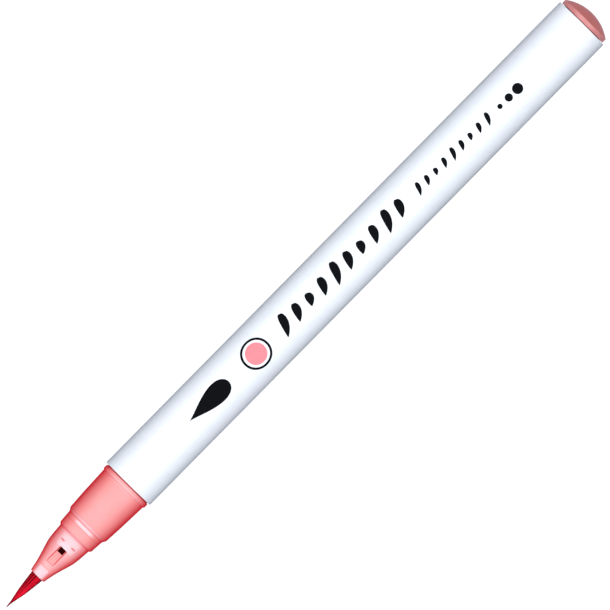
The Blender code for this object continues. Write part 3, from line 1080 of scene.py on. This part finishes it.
def add_patch(builder, points, material_index):
    """A thin closed patch of ink that hugs the barrel, from a grid of (station, across) points."""
    levels = []
    for height in (BARREL_RADIUS + INK_HEIGHT, BARREL_RADIUS - INK_SUNK):
        level = []
        for row in points:
            angles = [(station, across / BARREL_RADIUS) for station, across in row]
            spots = [place(s, height * math.sin(a), height * math.cos(a)) for s, a in angles]
            level.append([builder.verts.new(spot) for spot in spots])
        levels.append(level)
    top, bottom = levels
    rows, columns = len(points), len(points[0])
    made = []
    for i in range(rows - 1):
        for j in range(columns - 1):
            for level in levels:
                quad = (level[i][j], level[i][j + 1], level[i + 1][j + 1], level[i + 1][j])
                made.append(builder.faces.new(quad))
    edge = [(i, 0) for i in range(rows)] + [(rows - 1, j) for j in range(1, columns)]
    edge += [(i, columns - 1) for i in range(rows - 2, -1, -1)]
    edge += [(0, j) for j in range(columns - 2, 0, -1)]
    for (i, j), (k, m) in zip(edge, edge[1:] + edge[:1]):
        made.append(builder.faces.new((top[i][j], top[k][m], bottom[k][m], bottom[i][j])))
    for face in made:
        face.material_index = material_index


def within_ends(share):
    """A share of a mark's length, squeezed to keep clear of both its ends."""
    return END_MARGIN + (1.0 - 2.0 * END_MARGIN) * share


def dab(station, length, width, lean):
    """A brush dab: pointed where the brush lands, full and round where it lifts."""
    forward = (math.sin(lean), -math.cos(lean))
    sideways = (math.cos(lean), math.sin(lean))
    grid = []
    for step in range(DAB_STEPS + 1):
        share = within_ends(step / DAB_STEPS)
        half = width * DAB_FULLNESS * share**DAB_FRONT_POWER * (1.0 - share) ** DAB_BACK_POWER
        bend = DAB_BEND * length * math.sin(math.pi * share)
        row = []
        for side in range(DAB_SIDES + 1):
            offset = half * (2.0 * side / DAB_SIDES - 1.0) + bend
            travel = length * (share - 0.5)
            along = station + forward[0] * travel + sideways[0] * offset
            row.append((along, forward[1] * travel + sideways[1] * offset))
        grid.append(row)
    return grid


def round_patch(station, radius):
    """A filled round, as a square grid squeezed into a circle."""
    grid = []
    for i in range(ROUND_STEPS + 1):
        u = 2.0 * i / ROUND_STEPS - 1.0
        row = []
        for j in range(ROUND_STEPS + 1):
            v = 2.0 * j / ROUND_STEPS - 1.0
            x, y = u * math.sqrt(1.0 - v * v / 2.0), v * math.sqrt(1.0 - u * u / 2.0)
            row.append((station + radius * x, radius * y))
        grid.append(row)
    return grid


def ring_halves(station, inner, outer):
    """A ring as two half rings that share their ends."""
    halves = []
    for start in (0.0, math.pi):
        grid = []
        for step in range(RING_STEPS + 1):
            angle = start + math.pi * step / RING_STEPS
            row = []
            for side in range(RING_SIDES + 1):
                radius = inner + (outer - inner) * side / RING_SIDES
                row.append((station + radius * math.cos(angle), radius * math.sin(angle)))
            grid.append(row)
        halves.append(grid)
    return halves


def drop(station, length, width):
    """A drop of ink that points to the brush."""
    grid = []
    for step in range(DROP_STEPS + 1):
        turn = math.pi * within_ends(step / DROP_STEPS)
        point = math.sin(turn / 2.0) ** DROP_POINT_POWER
        half = width * DROP_FULLNESS * math.sin(turn) * point
        along = station - length / 2.0 * math.cos(turn)
        row = []
        for side in range(DROP_SIDES + 1):
            row.append((along, half * (2.0 * side / DROP_SIDES - 1.0)))
        grid.append(row)
    return grid


def make_print(black, pink):
    """Generic marks on the pen's middle line: a drop, a colour swatch, brush dabs and dots."""
    builder = bmesh.new()
    add_patch(builder, drop(DROP_AT, DROP_LENGTH, DROP_WIDTH), BLACK_SLOT)
    for half in ring_halves(SWATCH_AT, SWATCH_RADIUS - SWATCH_LINE, SWATCH_RADIUS):
        add_patch(builder, half, BLACK_SLOT)
    add_patch(builder, round_patch(SWATCH_AT, SWATCH_RADIUS - 2 * SWATCH_LINE), PINK_SLOT)
    mean, change, dabs_in_turn = DAB_SWELL
    for front, count, pitch, length, width, lean in DAB_ROWS:
        for index in range(count):
            swell = mean + change * math.cos(math.tau * index / dabs_in_turn)
            mark = dab(front + pitch * index, length * swell, width, lean)
            add_patch(builder, mark, BLACK_SLOT)
    for index, radius in enumerate(DOT_RADII):
        add_patch(builder, round_patch(DOTS_AT + DOT_PITCH * index, radius), BLACK_SLOT)
    marks = finish_mesh("barrel_print", builder, [black, pink])
    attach(marks, "pen")


# ---- pieces inside the pen


def fused_nylon():
    """The melted butt of the hair."""
    return inner_material(
        "fused_nylon",
        dark=(0.16, 0.002, 0.012),
        light=(0.34, 0.006, 0.03),
        roughness=(0.3, 0.5),
        scale=2500.0,
        depth=0.01 * MM,
    )


def clear_pink_plastic():
    """The clear moulded pieces."""
    return inner_material(
        "clear_pink_plastic",
        dark=(0.80, 0.40, 0.42),
        light=(0.88, 0.50, 0.52),
        roughness=(0.1, 0.2),
        scale=900.0,
        depth=0.002 * MM,
        Transmission_Weight=0.5,
        IOR=PLASTIC_IOR,
    )


def inked_fibre():
    """Bundled fibres soaked with ink, drawn out along the pen."""
    return inner_material(
        "inked_fibre",
        dark=(0.45, 0.01, 0.04),
        light=(0.70, 0.05, 0.10),
        roughness=(0.7, 0.9),
        scale=6000.0,
        depth=0.03 * MM,
        stretch=(0.05, 1.0, 1.0),
    )


def wrapping_film():
    """The thin film round the reservoir."""
    return inner_material(
        "wrapping_film",
        dark=(0.80, 0.76, 0.77),
        light=(0.90, 0.87, 0.88),
        roughness=(0.12, 0.25),
        scale=1200.0,
        depth=0.01 * MM,
        stretch=(0.3, 1.0, 1.0),
        IOR=FILM_IOR,
        Coat_Weight=0.3,
    )


def finish_inner_pieces():
    """Materials for the frame's own pieces inside the pen."""
    finishes = (
        (fused_nylon(), ("brush_root",)),
        (clear_pink_plastic(), ("brush_collar", "relay_holder")),
        (inked_fibre(), ("relay_rod", "reservoir_core")),
        (wrapping_film(), ("reservoir_film",)),
    )
    for material, names in finishes:
        for name in names:
            materials = frame["nodes"][name].data.materials
            materials.clear()
            materials.append(material)


# ---- stage


def add_camera():
    """Looks straight down on the pen from afar, rolled so that the tip points down left."""
    data = bpy.data.cameras.new("camera")
    data.lens = CAMERA_LENS
    data.sensor_width = SENSOR_WIDTH
    data.clip_start = CAMERA_CLIP
    camera = bpy.data.objects.new("camera", data)
    distance = FIELD * CAMERA_LENS / SENSOR_WIDTH
    camera.location = (*CAMERA_CENTRE, AXIS_Z + distance)
    camera.rotation_euler = (0.0, 0.0, CAMERA_ROLL)
    bpy.context.scene.collection.objects.link(camera)
    bpy.context.scene.camera = camera


def camera_switch(tree, seen, other):
    """Gives camera rays one shader and all other rays another."""
    path = tree.nodes.new("ShaderNodeLightPath")
    mix = tree.nodes.new("ShaderNodeMixShader")
    tree.links.new(path.outputs["Is Camera Ray"], mix.inputs["Fac"])
    tree.links.new(other, mix.inputs[1])
    tree.links.new(seen, mix.inputs[2])
    return mix.outputs["Shader"]


def add_floor():
    """A large pale floor. It looks nearly white and sends only a little light back up."""
    builder = bmesh.new()
    bmesh.ops.create_grid(builder, x_segments=1, y_segments=1, size=FLOOR_HALF)
    mesh = bpy.data.meshes.new("floor")
    builder.to_mesh(mesh)
    builder.free()
    material = bpy.data.materials.new("pale_floor")
    material.use_nodes = True
    tree = material.node_tree
    tree.nodes.clear()
    shown = tree.nodes.new("ShaderNodeBsdfDiffuse")
    shown.inputs["Color"].default_value = (*FLOOR_COLOUR, 1.0)
    glow = tree.nodes.new("ShaderNodeEmission")
    glow.inputs["Strength"].default_value = FLOOR_GLOW
    lit = linked(tree, "ShaderNodeAddShader", shown.outputs[0], glow.outputs[0])
    bounce = tree.nodes.new("ShaderNodeBsdfDiffuse")
    bounce.inputs["Color"].default_value = (*FLOOR_BOUNCE, 1.0)
    surface = camera_switch(tree, lit.outputs["Shader"], bounce.outputs["BSDF"])
    output = tree.nodes.new("ShaderNodeOutputMaterial")
    tree.links.new(surface, output.inputs["Surface"])
    mesh.materials.append(material)
    floor = bpy.data.objects.new("floor", mesh)
    floor.location.z = -FLOOR_GAP
    bpy.context.scene.collection.objects.link(floor)


def add_light():
    """One very large soft light overhead, and a low cool ambient light."""
    data = bpy.data.lights.new("soft_light", "SUN")
    data.angle = SOFT_LIGHT_ANGLE
    data.energy = SOFT_LIGHT_STRENGTH
    light = bpy.data.objects.new("soft_light", data)
    bpy.context.scene.collection.objects.link(light)
    world = bpy.data.worlds.new("studio")
    world.use_nodes = True
    tree = world.node_tree
    tree.nodes.clear()
    backdrop = tree.nodes.new("ShaderNodeBackground")
    backdrop.inputs["Color"].default_value = (*BACKDROP_COLOUR, 1.0)
    ambient = tree.nodes.new("ShaderNodeBackground")
    ambient.inputs["Color"].default_value = (*AMBIENT_COLOUR, 1.0)
    ambient.inputs["Strength"].default_value = AMBIENT_STRENGTH
    surface = camera_switch(tree, backdrop.outputs[0], ambient.outputs[0])
    output = tree.nodes.new("ShaderNodeOutputWorld")
    tree.links.new(surface, output.inputs["Surface"])
    bpy.context.scene.world = world
    bpy.context.scene.view_settings.view_transform = "Standard"


# ---- all of it


add_camera()
add_light()
add_floor()
make_barrel(white_plastic())
make_tail_plug(rose_plastic())
make_nose(tinted_plastic(), nose_bore_painted_shade())
make_brush(wet_filaments())
make_print(print_ink("black_ink", BLACK_INK), print_ink("pink_ink", PINK_INK))
finish_inner_pieces()
